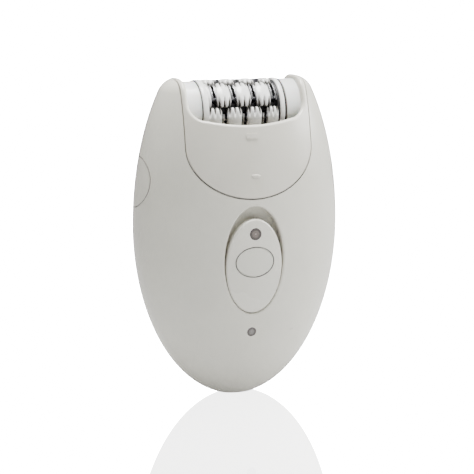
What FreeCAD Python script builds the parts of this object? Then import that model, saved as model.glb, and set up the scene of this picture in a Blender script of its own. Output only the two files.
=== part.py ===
"""Cordless epilator: an egg-shaped handle with a lift-off tweezer head.

Frame: +Z up through the head, front towards -Y, origin at the centre of the base. Millimetres.
"""
import FreeCAD, Part
import math
import os

import Sketcher
from fcgear import fcgear, involute

V = FreeCAD.Vector
X_AXIS = V(1, 0, 0)
Y_AXIS = V(0, 1, 0)
Z_AXIS = V(0, 0, 1)
FAR = 60.0

SIZES = {
    # outer form
    "half_width": 31.0, "half_depth": 17.8, "widest_level": 50.97, "low_axis": 51.55, "high_axis": 59.23,
    "top_level": 94.0, "shoulder_radius": 6.5, "wall": 1.8, "neck_outer": 2.1, "neck_inner": 3.4,
    # head outline
    "tongue_half_width": 19.0, "tongue_drop": 14.6, "tongue_level": 75.0, "seam_gap": 0.15,
    "deck_bottom": 68.5, "deck_top": 70.0, "head_floor": 70.2, "head_floor_top": 71.4,
    "rim_round": 0.8, "rim_inner_round": 0.5,
    "cheek_inner": 17.2, "rim_level": 81.3, "rim_corner_level": 82.6, "rim_corner_radius": 4.6,
    # slider, lock button and lenses
    "recess_half_width": 8.9, "recess_bottom": 26.8, "recess_top": 58.35, "recess_depth": 3.6,
    "recess_round": 0.4, "slider_round": 0.5,
    "pad_depth": 4.8, "slider_half_width": 8.4, "slider_bottom": 27.1, "slider_top": 54.7,
    "slider_thickness": 1.9, "well_depth": 2.9, "lock_level": 42.2, "lock_half_width": 5.55,
    "lock_half_height": 4.2, "lock_thickness": 1.1, "lens_level": 50.4, "lens_radius": 1.75,
    "status_level": 21.15, "status_radius": 1.38,
    # side buttons
    "side_level": 64.5, "side_half_depth": 6.5, "side_half_height": 7.2, "side_gap": 0.2,
    # drive
    "motor_x": 8.1, "transfer_x": 17.0, "motor_radius": 10.0, "motor_depth": 15.0, "motor_length": 30.0,
    "motor_base": 30.0, "shaft_radius": 1.0, "running_gap": 0.05, "plate_thickness": 1.6,
    "gear_module": 0.4, "crown_module": 0.5, "motor_teeth": 11, "transfer_teeth": 33,
    "output_teeth": 10, "crown_teeth": 30,
    # roller
    "roller_level": 84.0, "roller_radius": 9.25, "core_radius": 6.6, "roller_left": -12.7,
    "roller_right": 12.4, "axle_radius": 1.5, "axle_half_length": 18.9, "bush_radius": 2.6,
    "bar_radius": 0.7, "bar_orbit": 5.2, "bar_left": -13.3, "bar_right": 11.6, "row_start": 43.0,
    "row_half_angle": 25.0, "slot_half_width": 0.8, "plate_gauge": 0.35, "collar_radius": 8.85,
    # power and fasteners
    "cell_radius": 7.0, "cell_length": 43.0, "board_width": 16.0, "board_height": 39.5,
    "board_thickness": 1.2, "led_radius": 1.3, "led_length": 2.8, "socket_level": 12.5,
    "socket_radius": 3.0, "socket_bore": 1.9, "pin_radius": 0.65, "screw_radius": 1.0,
    "screw_head_radius": 1.9, "small_screw_radius": 0.8, "spring_wire": 0.2,
}
CASE_SCREWS = ((-12.0, 19.8, 9.5), (12.0, 19.8, 9.5), (-24.6, 50.0, 8.0), (24.6, 50.0, 8.0))
HEAD_SCREWS = ((-9.5, 72.6, 14.0), (9.5, 72.6, 14.0))
PLATE_POSTS = ((4.0, -9.4), (4.0, 9.4))
MOTOR_SCREWS = ((8.1, -5.0), (8.1, 5.0))

doc = FreeCAD.newDocument("epilator")
sheet = doc.addObject("Spreadsheet::Sheet", "Sizes")
for row, (alias, value) in enumerate(SIZES.items(), start=1):
    sheet.set(f"A{row}", alias)
    sheet.set(f"B{row}", str(value))
    sheet.setAlias(f"B{row}", alias)
doc.recompute()
S = {alias: float(sheet.get(alias)) for alias in SIZES}
nodes = []


def keep(label, obj):
    """Name an object as a sub-part that is written to its own file."""
    obj.Label = label
    nodes.append(obj)
    return obj


def shape_node(label, shape):
    """Keep a shape worked out from the sheet's sizes as a sub-part."""
    feature = doc.addObject("Part::Feature", label)
    feature.Shape = shape
    return keep(label, feature)


def rod(label, radius, length, base, axis=Z_AXIS):
    """Part cylinder whose radius and length are sheet expressions."""
    cylinder = doc.addObject("Part::Cylinder", label)
    cylinder.setExpression("Radius", radius)
    cylinder.setExpression("Height", length)
    cylinder.Placement = FreeCAD.Placement(base, FreeCAD.Rotation(Z_AXIS, axis))
    return cylinder


def block(label, length, width, height, corner):
    """Part box whose sides are sheet expressions."""
    box = doc.addObject("Part::Box", label)
    box.setExpression("Length", length)
    box.setExpression("Width", width)
    box.setExpression("Height", height)
    box.Placement.Base = corner
    return box


def boolean(kind, label, first, second):
    """Part Cut, Fuse or Common of two document objects."""
    result = doc.addObject("Part::" + kind, label)
    result.Base = first
    result.Tool = second
    return result


def sketch_on(body, role, name, offset=0.0):
    """Sketch attached to one of the body's own origin planes."""
    plane = [item for item in body.Origin.OriginFeatures if item.Role == role][0]
    sketch = body.newObject("Sketcher::SketchObject", name)
    sketch.AttachmentSupport = [(plane, "")]
    sketch.MapMode = "FlatFace"
    sketch.AttachmentOffset = FreeCAD.Placement(V(0, 0, offset), FreeCAD.Rotation())
    return sketch


def draw_loop(sketch, points):
    """Closed loop of straight lines through the points."""
    first = sketch.GeometryCount
    for index, start in enumerate(points):
        end = points[(index + 1) % len(points)]
        sketch.addGeometry(Part.LineSegment(V(*start, 0), V(*end, 0)), False)
    for index in range(len(points)):
        following = first + (index + 1) % len(points)
        sketch.addConstraint(Sketcher.Constraint("Coincident", first + index, 2, following, 1))


def draw_circle(sketch, x, y, radius):
    """Circle whose radius follows a sheet expression."""
    index = sketch.addGeometry(Part.Circle(V(x, y, 0), Z_AXIS, 1.0), False)
    constraint = sketch.addConstraint(Sketcher.Constraint("Radius", index, 1.0))
    sketch.setExpression(f"Constraints[{constraint}]", radius)


def plate(label, points, holes, thickness, offset):
    """PartDesign pad of a polygon with round holes, upwards from the offset level."""
    body = doc.addObject("PartDesign::Body", label)
    sketch = sketch_on(body, "XY_Plane", label + "_outline", offset)
    draw_loop(sketch, points)
    for x, y, radius in holes:
        draw_circle(sketch, x, y, radius)
    pad = body.newObject("PartDesign::Pad", label + "_pad")
    pad.Profile = sketch
    pad.setExpression("Length", thickness)
    return keep(label, body)


def turned(label, points, axis_name, role="XZ_Plane"):
    """PartDesign revolution of a half section about an axis of its own sketch."""
    body = doc.addObject("PartDesign::Body", label)
    sketch = sketch_on(body, role, label + "_section")
    draw_loop(sketch, points)
    revolution = body.newObject("PartDesign::Revolution", label + "_turn")
    revolution.Profile = sketch
    revolution.ReferenceAxis = (sketch, [axis_name])
    revolution.Angle = 360.0
    return keep(label, body)


def ellipse_point(half_width, semi, angle):
    """Point of the flank at an angle above the widest level."""
    return V(half_width * math.cos(angle), 0, S["widest_level"] + semi * math.sin(angle))


def flank(half_width, semi, angle):
    """Elliptical flank from the widest level to the given angle above or below it."""
    centre = V(0, 0, S["widest_level"])
    ellipse = Part.Ellipse(centre + Z_AXIS * semi, centre + X_AXIS * half_width, centre)
    ends = (ellipse.parameter(ellipse_point(half_width, semi, 0)),
            ellipse.parameter(ellipse_point(half_width, semi, angle)))
    arc = Part.ArcOfEllipse(ellipse, *ends)
    if arc.length() > 2 * semi:
        arc = Part.ArcOfEllipse(ellipse, ends[1], ends[0])
    return arc.toShape()


def shoulder(half_width, semi, top, radius):
    """Angle on the flank, and centre, of the arc tangent to the flank and to the flat top."""
    low, high = 0.2, 1.4
    for _ in range(60):
        angle = (low + high) / 2
        point = ellipse_point(half_width, semi, angle)
        inward = V(-math.cos(angle) / half_width, 0, -math.sin(angle) / semi).normalize()
        centre = point + inward * radius
        if centre.z > top - radius:
            high = angle
        else:
            low = angle
    return angle, centre


def outer_form(inset=0.0):
    """Solid egg form, shrunk all round by the inset; forms that reach below the base are cut flat."""
    half_width = S["half_width"] - inset
    low, high = S["low_axis"] - inset, S["high_axis"] - inset
    top = S["top_level"] - inset
    radius = max(1.5, S["shoulder_radius"] - inset)
    foot_level = inset if inset > 0 else -0.3
    foot_angle = -math.asin((S["widest_level"] - foot_level) / low)
    foot = ellipse_point(half_width, low, foot_angle)
    angle, centre = shoulder(half_width, high, top, radius)
    start = ellipse_point(half_width, high, angle)
    crest = centre + Z_AXIS * radius
    middle = centre + ((start - centre) + (crest - centre)).normalize() * radius
    edges = [flank(half_width, low, foot_angle), flank(half_width, high, angle)]
    edges.append(Part.Arc(start, middle, crest).toShape())
    edges.append(Part.makeLine(crest, V(0, 0, top)))
    edges.append(Part.makeLine(V(0, 0, top), V(0, 0, foot.z)))
    edges.append(Part.makeLine(V(0, 0, foot.z), foot))
    face = Part.Face(Part.Wire(Part.__sortEdges__(edges)))
    solid = face.revolve(V(0, 0, 0), Z_AXIS, 360)
    squash = FreeCAD.Matrix()
    squash.A22 = (S["half_depth"] - inset) / half_width
    solid = solid.transformGeometry(squash)
    return solid.cut(slab(-5, 0)) if foot_level < 0 else solid


def slab(low, high, reach=FAR):
    """Everything between two levels."""
    return Part.makeBox(2 * reach, 2 * reach, high - low, V(-reach, -reach, low))


def prism_along_y(wire):
    """Solid prism through the whole depth from a wire drawn at y = 0."""
    face = Part.Face(wire)
    face.translate(V(0, -FAR, 0))
    return face.extrude(V(0, 2 * FAR, 0))


def ellipse_wire(x, level, half_width, half_height, normal=Y_AXIS):
    """Ellipse in a vertical plane, with its level and half sizes."""
    across = X_AXIS if normal == Y_AXIS else Y_AXIS
    centre = V(x, 0, level)
    if half_height > half_width:
        long_point = centre + Z_AXIS * half_height
        short_point = centre + across * half_width
    else:
        long_point = centre + across * half_width
        short_point = centre + Z_AXIS * half_height
    return Part.Wire([Part.Ellipse(long_point, short_point, centre).toShape()])


def oval(half_width, bottom, top):
    """Elliptical prism through the depth, between two levels."""
    return prism_along_y(ellipse_wire(0, (bottom + top) / 2, half_width, (top - bottom) / 2))


def tongue(grow):
    """Region of the lift-off head seen from the front: a half ellipse with straight sides."""
    half_width = S["tongue_half_width"] + grow
    drop = S["tongue_drop"] + grow
    level = S["tongue_level"]
    ellipse = prism_along_y(ellipse_wire(0, level, half_width, drop))
    sides = Part.makeBox(2 * half_width, 2 * FAR, FAR, V(-half_width, -FAR, level))
    return ellipse.fuse(sides).removeSplitter()


def roller_opening():
    """Smile-shaped gap in the head through which the roller shows."""
    half_width = S["cheek_inner"]
    radius = S["rim_corner_radius"]
    corner = half_width - radius
    turn = radius * math.sin(math.radians(45))
    level = S["rim_corner_level"]
    floor = Part.Arc(V(-corner, 0, level), V(0, 0, S["rim_level"]), V(corner, 0, level)).toShape()
    edges = [floor]
    for side in (-1, 1):
        middle = V(side * (corner + turn), 0, level + radius - turn)
        end = V(side * half_width, 0, level + radius)
        edges.append(Part.Arc(V(side * corner, 0, level), middle, end).toShape())
        edges.append(Part.makeLine(end, V(side * half_width, 0, FAR * 2)))
    edges.append(Part.makeLine(V(-half_width, 0, FAR * 2), V(half_width, 0, FAR * 2)))
    return prism_along_y(Part.Wire(Part.__sortEdges__(edges)))


def y_rod(x, level, radius, start, end):
    """Cylinder along Y between two depths."""
    return Part.makeCylinder(radius, end - start, V(x, start, level), Y_AXIS)


def side_plug(side, grow, start=20.0):
    """Elliptical plug through one flank, for the release button and its opening."""
    wire = ellipse_wire(0, S["side_level"], S["side_half_depth"] + grow, S["side_half_height"] + grow, X_AXIS)
    face = Part.Face(wire)
    face.translate(V(side * start, 0, 0))
    return face.extrude(V(side * FAR, 0, 0))


FORM = {inset: outer_form(inset) for inset in (
    -0.25, 0.0, 0.7, 1.1, 1.4, S["wall"], S["slider_thickness"], S["neck_outer"], 2.4, S["well_depth"], 3.0,
    S["neck_inner"], S["recess_depth"], S["pad_depth"])}
SKIN = FORM[0.0]
INSIDE = FORM[S["wall"]]
SKIN_FACES = Part.Shell(SKIN.Faces)
INSIDE_FACES = Part.Shell(INSIDE.Faces)


def edges_on(shape, first, second):
    """Edges of a shape that lie on both of two sets of faces."""
    found = []
    for edge in shape.Edges:
        start, end = edge.ParameterRange
        samples = [edge.valueAt(start + (end - start) * step) for step in (0.25, 0.5, 0.75)]
        if all(Part.Vertex(point).distToShape(faces)[0] <= 0.03 for point in samples for faces in (first, second)):
            found.append(edge)
    return found


def case_body():
    """Whole handle shell before it is split into front and rear halves."""
    below_deck = slab(-5, S["deck_bottom"])
    neck_zone = tongue(3.0)
    pad_zone = oval(S["recess_half_width"] + 1.6, S["recess_bottom"] - 1.6, S["recess_top"] + 1.0)
    pad = INSIDE.common(pad_zone).cut(FORM[S["pad_depth"]]).common(Part.makeBox(80, 40, 120, V(-40, -40, 0)))
    low_room = INSIDE.common(below_deck).cut(neck_zone)
    neck_room = FORM[S["neck_inner"]].common(below_deck)
    ear_cheek = S["tongue_half_width"] + 0.15 + 1.5
    ears = INSIDE.common(slab(S["deck_top"], FAR * 2))
    ears = ears.cut(Part.makeBox(2 * ear_cheek, 80, 120, V(-ear_cheek, -40, 0)))
    head_zone = tongue(S["seam_gap"])
    skin_over_neck = SKIN.common(head_zone).cut(FORM[S["neck_outer"]])
    above_deck = head_zone.common(slab(S["deck_top"], FAR * 2))
    shell = SKIN.cut(low_room).cut(neck_room).cut(ears).cut(skin_over_neck).cut(above_deck)
    shell = shell.fuse(pad)
    for side in (-1, 1):
        shell = shell.cut(side_plug(side, S["side_gap"]).common(slab(0, 120)).cut(INSIDE))
        shell = shell.cut(side_plug(side, 1.7, 22.6).common(INSIDE))
        rib = Part.makeBox(1.5, 60, 3.2, V(21.6 if side > 0 else -23.1, -30, 57.2))
        rib = rib.cut(Part.makeCylinder(1.0, 4, V(side * 20.5, 0, 59), X_AXIS * side))
        shell = shell.fuse(rib.common(INSIDE))
    for x, level, _ in CASE_SCREWS:
        shell = shell.fuse(y_rod(x, level, 2.9, -FAR, FAR).common(INSIDE))
    for x, y in PLATE_POSTS:
        post = Part.makeCylinder(1.9, S["deck_bottom"] - 61.5 + 0.2, V(x, y, 61.7))
        shell = shell.fuse(post)
    return cut_case_holes(shell)


def cut_case_holes(shell):
    """Openings for the slider, lenses, socket, screws and gear shaft."""
    oval_recess = oval(S["recess_half_width"], S["recess_bottom"], S["recess_top"])
    recess = oval_recess.cut(FORM[S["recess_depth"]])
    front = Part.makeBox(80, 40, 120, V(-40, -40, 0))
    shell = shell.cut(recess.common(front))
    recess_edges = edges_on(shell, SKIN_FACES, Part.Shell(oval_recess.Faces))
    shell = shell.makeFillet(S["recess_round"], [edge for edge in recess_edges if edge.CenterOfMass.y < 0])
    shell = shell.cut(Part.makeBox(5.0, 10, 8.6, V(-2.5, -20, 38.3)))
    window = Part.makeBox(2.8, 10, 3.6, V(-1.4, -20, S["lens_level"]))
    shell = shell.cut(window)
    shell = shell.cut(y_rod(0, S["status_level"], S["status_radius"] + 0.02, -25, -5))
    shell = shell.cut(y_rod(0, S["socket_level"], S["socket_radius"] + 0.1, 2, 25))
    for x, level, seat in CASE_SCREWS:
        shell = shell.cut(y_rod(x, level, S["screw_head_radius"] + 0.15, seat, 25))
        shell = shell.cut(y_rod(x, level, S["screw_radius"] + 0.05, seat - 12.5, seat))
    for x, y in PLATE_POSTS:
        shell = shell.cut(Part.makeCylinder(S["small_screw_radius"] + 0.05, 4.5, V(x, y, 61)))
    shell = shell.cut(Part.makeCylinder(2.42, 4, V(S["transfer_x"], 0, S["deck_bottom"] - 1)))
    return shell.cut(Part.makeCylinder(3.5, 7.8, V(S["transfer_x"], 0, S["deck_top"])))


def half(shape, side):
    """Front (-1) or rear (+1) half of a shape, split at y = 0."""
    corner = V(-FAR, 0 if side > 0 else -FAR, -5)
    return shape.common(Part.makeBox(2 * FAR, FAR, 3 * FAR, corner))


def head_body():
    """Whole head housing before it is split into front and rear covers."""
    zone = tongue(-S["seam_gap"])
    inner = S["cheek_inner"]
    cavity = INSIDE.common(Part.makeBox(2 * inner, 60, 60, V(-inner, -30, S["head_floor_top"])))
    shell = SKIN.common(zone).cut(INSIDE.common(slab(0, S["head_floor"]))).cut(cavity)
    opening = roller_opening()
    shell = shell.cut(opening)
    opening_faces = Part.Shell(opening.Faces)
    shell = shell.makeFillet(S["rim_round"], edges_on(shell, SKIN_FACES, opening_faces))
    shell = shell.makeFillet(S["rim_inner_round"], edges_on(shell, INSIDE_FACES, opening_faces))
    for x, level, _ in HEAD_SCREWS:
        shell = shell.fuse(y_rod(x, level, 1.8, -FAR, FAR).common(INSIDE))
    mark = Part.makeBox(3.6, 20, 1.4, V(-2.2, -30, 77.7))
    mark = mark.makeFillet(0.5, [edge for edge in mark.Edges if abs(edge.tangentAt(edge.FirstParameter).y) > 0.9])
    shell = shell.fuse(mark.common(FORM[-0.25]).cut(FORM[1.1]))
    for x, level, seat in HEAD_SCREWS:
        shell = shell.cut(y_rod(x, level, 1.6, seat, 25))
        shell = shell.cut(y_rod(x, level, S["small_screw_radius"] + 0.05, seat - 15.5, seat))
    axle = Part.makeCylinder(S["axle_radius"] + 0.02, 60, V(-30, 0, S["roller_level"]), X_AXIS)
    shell = shell.cut(axle)
    return shell.cut(Part.makeCylinder(3.4, 9.5, V(S["transfer_x"], 0, 68)))


def largest_solid(shape):
    """Main solid of a boolean result, without loose slivers."""
    return max(shape.Solids, key=lambda solid: solid.Volume)


def screws(label, places, radius, head_radius, length, head, axis):
    """Identical flat-head screws; each place is the underside of a head, the axis points out of it."""
    solids = []
    for place in places:
        cap = Part.makeCylinder(head_radius, head, place, axis)
        shank = Part.makeCylinder(radius, length, place - axis * length, axis)
        cross = [Part.makeBox(head_radius * 1.2, head * 0.3, head, V(-head_radius * 0.6, -head * 0.15, 0))]
        cross.append(Part.makeBox(head * 0.3, head_radius * 1.2, head, V(-head * 0.15, -head_radius * 0.6, 0)))
        screw = cap.fuse(shank).removeSplitter()
        for slot in cross:
            turn = FreeCAD.Placement(place + axis * head * 0.5, FreeCAD.Rotation(Z_AXIS, axis))
            slot.Placement = turn
            screw = screw.cut(slot)
        solids.append(screw)
    return shape_node(label, Part.makeCompound(solids))


def coil(label, start, axis, length, radius, turns):
    """Round-wire compression spring."""
    wire = Part.makeHelix(length / turns, length, radius)
    profile = Part.Wire([Part.makeCircle(S["spring_wire"], V(radius, 0, 0), Y_AXIS)])
    solid = wire.makePipeShell([profile], True, True)
    solid.Placement = FreeCAD.Placement(start, FreeCAD.Rotation(Z_AXIS, axis))
    return shape_node(label, solid)


def spur_gear(label, teeth, module, x, low, high, hub_radius, hub_low, turn=0.0):
    """Involute gear with a hub below it and a bore for the shaft."""
    writer = fcgear.FCWireBuilder()
    involute.CreateExternalGear(writer, module, int(teeth), 20, True)
    wire = Part.Wire([item.toShape() for item in writer.wire])
    wire.rotate(V(0, 0, 0), Z_AXIS, turn)
    gear = Part.Face(wire).extrude(V(0, 0, high - low))
    gear.translate(V(x, 0, low))
    gear = gear.fuse(Part.makeCylinder(hub_radius, high - hub_low, V(x, 0, hub_low)))
    bore = Part.makeCylinder(S["shaft_radius"], FAR, V(x, 0, hub_low - 1))
    return shape_node(label, gear.cut(bore).removeSplitter())


def crown_gear():
    """Face gear on the roller's right end; its teeth point along +X."""
    level = S["roller_level"]
    pitch_plane = S["transfer_x"] - S["crown_module"] * S["output_teeth"] / 2 - 0.05
    root = pitch_plane - 0.62
    tip = pitch_plane + 0.48
    disc = Part.makeCylinder(8.2, root - 12.9, V(12.9, 0, level), X_AXIS)
    disc = disc.fuse(Part.makeCylinder(3.4, 0.6, V(S["roller_right"], 0, level), X_AXIS))
    teeth = []
    for index in range(int(S["crown_teeth"])):
        points = [V(root - 0.1, -0.5, -8.15), V(tip, -0.2, -8.15), V(tip, 0.2, -8.15), V(root - 0.1, 0.5, -8.15)]
        tooth = Part.Face(Part.makePolygon(points + points[:1])).extrude(V(0, 0, 1.1))
        tooth.rotate(V(0, 0, 0), X_AXIS, index * 360 / S["crown_teeth"])
        tooth.translate(V(0, 0, level))
        teeth.append(tooth)
    gear = disc.fuse(teeth)
    return shape_node("crown_gear", gear.cut(Part.makeCylinder(1.7, 9, V(11, 0, level), X_AXIS)))


def row_angle(row):
    """Elevation of a tweezer row above the front, in degrees."""
    return S["row_start"] + 60 * row


def row_places(row):
    """Positions of the tweezers along a row; neighbouring rows are staggered."""
    return (-9.0, -3.0, 3.0, 9.0) if row % 2 == 0 else (-6.0, 0.0, 6.0)


def into_row(shape, row):
    """Turn a shape built straight up about the roller's axis into its row and lift it into place."""
    shape.rotate(V(0, 0, 0), X_AXIS, 90 - row_angle(row))
    shape.translate(V(0, 0, S["roller_level"]))
    return shape


def sector(left, right, inner, outer, half_angle):
    """Ring sector about X, centred straight up."""
    ring = Part.makeCylinder(outer, right - left, V(left, 0, 0), X_AXIS)
    ring = ring.cut(Part.makeCylinder(inner, right - left, V(left, 0, 0), X_AXIS))
    spread = 20 * math.tan(math.radians(half_angle))
    wedge = Part.makePolygon([V(left, 0, 0), V(left, -spread, 20), V(left, spread, 20), V(left, 0, 0)])
    return ring.common(Part.Face(wedge).extrude(V(right - left, 0, 0)))


def roller_drum():
    """Plastic roller: core, two end flanges and six rows of blocks with slots for the tweezers."""
    left, right = S["roller_left"], S["roller_right"]
    level, radius = S["roller_level"], S["roller_radius"]
    drum = Part.makeCylinder(S["core_radius"], right - left, V(left, 0, level), X_AXIS)
    flanges = [Part.makeCylinder(radius, 1.6, V(left, 0, level), X_AXIS)]
    flanges.append(Part.makeCylinder(radius, right - 10.4, V(10.4, 0, level), X_AXIS))
    rows = [into_row(sector(left, 10.1, S["core_radius"] - 0.1, radius, S["row_half_angle"]), row)
            for row in range(6)]
    drum = drum.fuse(flanges + rows)
    cuts = [Part.makeCylinder(2.0, 30, V(-15, 0, level), X_AXIS)]
    cuts.append(Part.makeCylinder(S["bush_radius"], 3, V(left, 0, level), X_AXIS))
    cuts.append(Part.makeCylinder(S["bush_radius"], 3, V(right - 3, 0, level), X_AXIS))
    half_slot = S["slot_half_width"]
    for row in range(6):
        cuts.append(into_row(Part.makeCylinder(0.8, 30, V(-15, 0, S["bar_orbit"]), X_AXIS), row))
        for place in row_places(row):
            outer = sector(place - half_slot, place + half_slot, S["core_radius"], radius + 1, 26)
            stem = Part.makeBox(2 * half_slot, 4.4, 5.0, V(place - half_slot, -2.2, 4.2))
            cuts.append(into_row(outer, row))
            cuts.append(into_row(stem, row))
    return shape_node("roller_drum", largest_solid(drum.cut(cuts)))


def tweezer_blade(left, thickness, inner, half_angle):
    """Thin steel blade of one tweezer, straight up about the roller's axis."""
    return sector(left, left + thickness, inner, S["roller_radius"] - 0.15, half_angle)


def tweezers():
    """Fixed blades as one group, then each row's push bar and moving blades."""
    gauge = S["plate_gauge"]
    fixed = []
    for row in range(6):
        for place in row_places(row):
            left = place + S["slot_half_width"] - gauge
            fixed.append(into_row(tweezer_blade(left, gauge, S["core_radius"], 19), row))
    shape_node("fixed_tweezers", Part.makeCompound(fixed))
    for row in range(6):
        bar_length = S["bar_right"] - S["bar_left"]
        bar = Part.makeCylinder(S["bar_radius"], bar_length, V(S["bar_left"], 0, S["bar_orbit"]), X_AXIS)
        shape_node(f"push_bar_{row + 1}", into_row(bar, row))
        moving = []
        for place in row_places(row):
            left = place - S["slot_half_width"] + 0.1
            blade = tweezer_blade(left, gauge, S["core_radius"] + 0.15, 17)
            blade = blade.fuse(Part.makeBox(gauge, 3.6, 3.2, V(left, -1.8, 4.4)))
            hole = Part.makeCylinder(S["bar_radius"], 30, V(-15, 0, S["bar_orbit"]), X_AXIS)
            moving.append(into_row(blade.cut(hole).removeSplitter(), row))
        shape_node(f"moving_tweezers_{row + 1}", Part.makeCompound(moving))


def slider_parts():
    """Switch slider with its lens, lock button, spring and switch lever."""
    front = Part.makeBox(80, 40, 120, V(-40, -40, 0))
    outline = oval(S["slider_half_width"], S["slider_bottom"], S["slider_top"])
    skin = SKIN.common(outline).common(front).cut(FORM[S["slider_thickness"]])
    skin = skin.makeFillet(S["slider_round"], edges_on(skin, SKIN_FACES, Part.Shell(outline.Faces)))
    level = S["lock_level"]
    half_width, half_height = S["lock_half_width"], S["lock_half_height"]
    well_zone = prism_along_y(ellipse_wire(0, level, half_width + 1.4, half_height + 1.4)).common(front)
    well = FORM[1.1].common(well_zone).cut(FORM[S["well_depth"]])
    well_room = prism_along_y(ellipse_wire(0, level, half_width + 0.8, half_height + 0.8)).common(front)
    well_room = well_room.common(FORM[0.7]).cut(FORM[2.4])
    mouth = prism_along_y(ellipse_wire(0, level, half_width + 0.25, half_height + 0.25)).common(front)
    mouth = mouth.cut(FORM[2.4])
    neck = Part.makeBox(4.4, 2.6, 4.6, V(-2.2, -15.2, 38.6))
    body = skin.fuse(well).cut(well_room).cut(mouth).fuse(neck)
    body = body.cut(Part.makeBox(2.0, 1.6, 2.0, V(-1.0, -13.6, 39.9)))
    body = body.cut(y_rod(0, S["lens_level"], S["lens_radius"] + 0.02, -25, -5))
    shape_node("switch_slider", largest_solid(body))
    lens = y_rod(0, S["lens_level"], S["lens_radius"], -25, -5).common(SKIN).cut(FORM[S["slider_thickness"]])
    shape_node("slider_lens", largest_solid(lens.common(front)))
    button = prism_along_y(ellipse_wire(0, level, half_width, half_height)).common(front)
    button = button.common(SKIN).cut(FORM[S["lock_thickness"]])
    flange = prism_along_y(ellipse_wire(0, level, half_width + 0.55, half_height + 0.55)).common(front)
    flange = flange.common(FORM[1.1].fuse(FORM[S["lock_thickness"]])).cut(FORM[1.4])
    shape_node("lock_button", largest_solid(button.fuse(flange)))
    coil("lock_spring", V(0, -15.85, level), Y_AXIS, 0.4, 1.9, 0.8)
    keep("switch_lever", block("switch_lever", "1.8 mm", "2.4 mm", "1.8 mm", V(-0.9, -13.5, 40.0)))


def release_parts():
    """Side buttons that let the head go, each with a guide stem and a spring."""
    for side, name in ((-1, "left"), (1, "right")):
        plug = side_plug(side, 0.0).common(SKIN).cut(FORM[3.0])
        flange = side_plug(side, 0.9).common(FORM[S["neck_outer"]]).cut(FORM[3.0])
        stem = Part.makeCylinder(0.8, 6.6, V(side * 22.2, 0, 59), X_AXIS * side)
        shape_node(f"release_button_{name}", largest_solid(plug.fuse(flange).fuse(stem)))
        coil(f"release_spring_{name}", V(side * 23.35, 0, 59), X_AXIS * side, 3.9, 1.5, 5)


def drive_parts():
    """Motor, gears, shafts, bushes and the plate that holds them."""
    motor_x, gear_x = S["motor_x"], S["transfer_x"]
    can = rod("motor_barrel", "Sizes.motor_radius", "Sizes.motor_length", V(motor_x, 0, S["motor_base"]))
    flats = block("motor_flats", "Sizes.motor_radius * 2", "Sizes.motor_depth", "Sizes.motor_length",
                  V(motor_x - S["motor_radius"], -S["motor_depth"] / 2, S["motor_base"]))
    shell = boolean("Common", "motor_shell", can, flats)
    bore = rod("motor_bore", "Sizes.shaft_radius + Sizes.running_gap", "Sizes.motor_length",
               V(motor_x, 0, S["motor_base"] + 3))
    hollow = boolean("Cut", "motor_hollow", shell, bore)
    for index, (x, y) in enumerate(MOTOR_SCREWS):
        hole = rod(f"motor_hole_{index}", "Sizes.small_screw_radius + Sizes.running_gap", "3.2 mm", V(x, y, 57))
        hollow = boolean("Cut", f"motor_cut_{index}", hollow, hole)
    keep("motor_can", hollow)
    cap = boolean("Common", "motor_end_cap",
                  rod("cap_barrel", "Sizes.motor_radius - 0.6", "1.6 mm", V(motor_x, 0, 28.4)),
                  block("cap_flats", "30 mm", "Sizes.motor_depth - 1.0", "1.6 mm", V(motor_x - 15, -7.0, 28.4)))
    keep("motor_end_cap", cap)
    tabs = [Part.makeBox(0.4, 2.2, 3.0, V(motor_x + offset, -1.1, 25.4)) for offset in (-6.2, 5.8)]
    shape_node("motor_terminals", Part.makeCompound(tabs))
    keep("motor_shaft", rod("motor_shaft", "Sizes.shaft_radius", "32.9 mm", V(motor_x, 0, 35.0)))
    outline = [(-3.0, -11.2), (12.0, -11.2), (20.5, -8.0), (20.5, 8.0), (12.0, 11.2), (-3.0, 11.2)]
    holes = [(motor_x, 0, "3.1 mm"), (gear_x, 0, "2.22 mm")]
    holes += [(x, y, "Sizes.small_screw_radius + Sizes.running_gap") for x, y in PLATE_POSTS + MOTOR_SCREWS]
    plate("gearbox_plate", outline, holes, "Sizes.plate_thickness", 60.05)
    screws("gearbox_screws", [V(x, y, 61.65) for x, y in MOTOR_SCREWS], S["small_screw_radius"], 1.5, 3.9, 1.0,
           Z_AXIS)
    screws("plate_screws", [V(x, y, 60.05) for x, y in PLATE_POSTS], S["small_screw_radius"], 1.5, 5.0, 1.0,
           -Z_AXIS)
    for label, radius, low, high in (("lower_bush", 2.2, 60.05, 61.65), ("upper_bush", 2.4, 68.5, 70.0)):
        running = S["shaft_radius"] + S["running_gap"]
        turned(label, [(running, low), (radius, low), (radius, high), (running, high)], "V_Axis")
        nodes[-1].Placement.Base = V(gear_x, 0, 0)
    keep("transfer_shaft", rod("transfer_shaft", "Sizes.shaft_radius", "16.6 mm", V(gear_x, 0, 60.2)))
    spur_gear("motor_pinion", S["motor_teeth"], S["gear_module"], motor_x, 64.3, 67.6, 1.6, 63.0)
    spur_gear("transfer_gear", S["transfer_teeth"], S["gear_module"], gear_x, 64.6, 67.3, 2.2, 61.9)
    spur_gear("output_pinion", S["output_teeth"], S["crown_module"], gear_x, 73.0, 76.9, 1.7, 70.4, 18.0)


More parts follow.
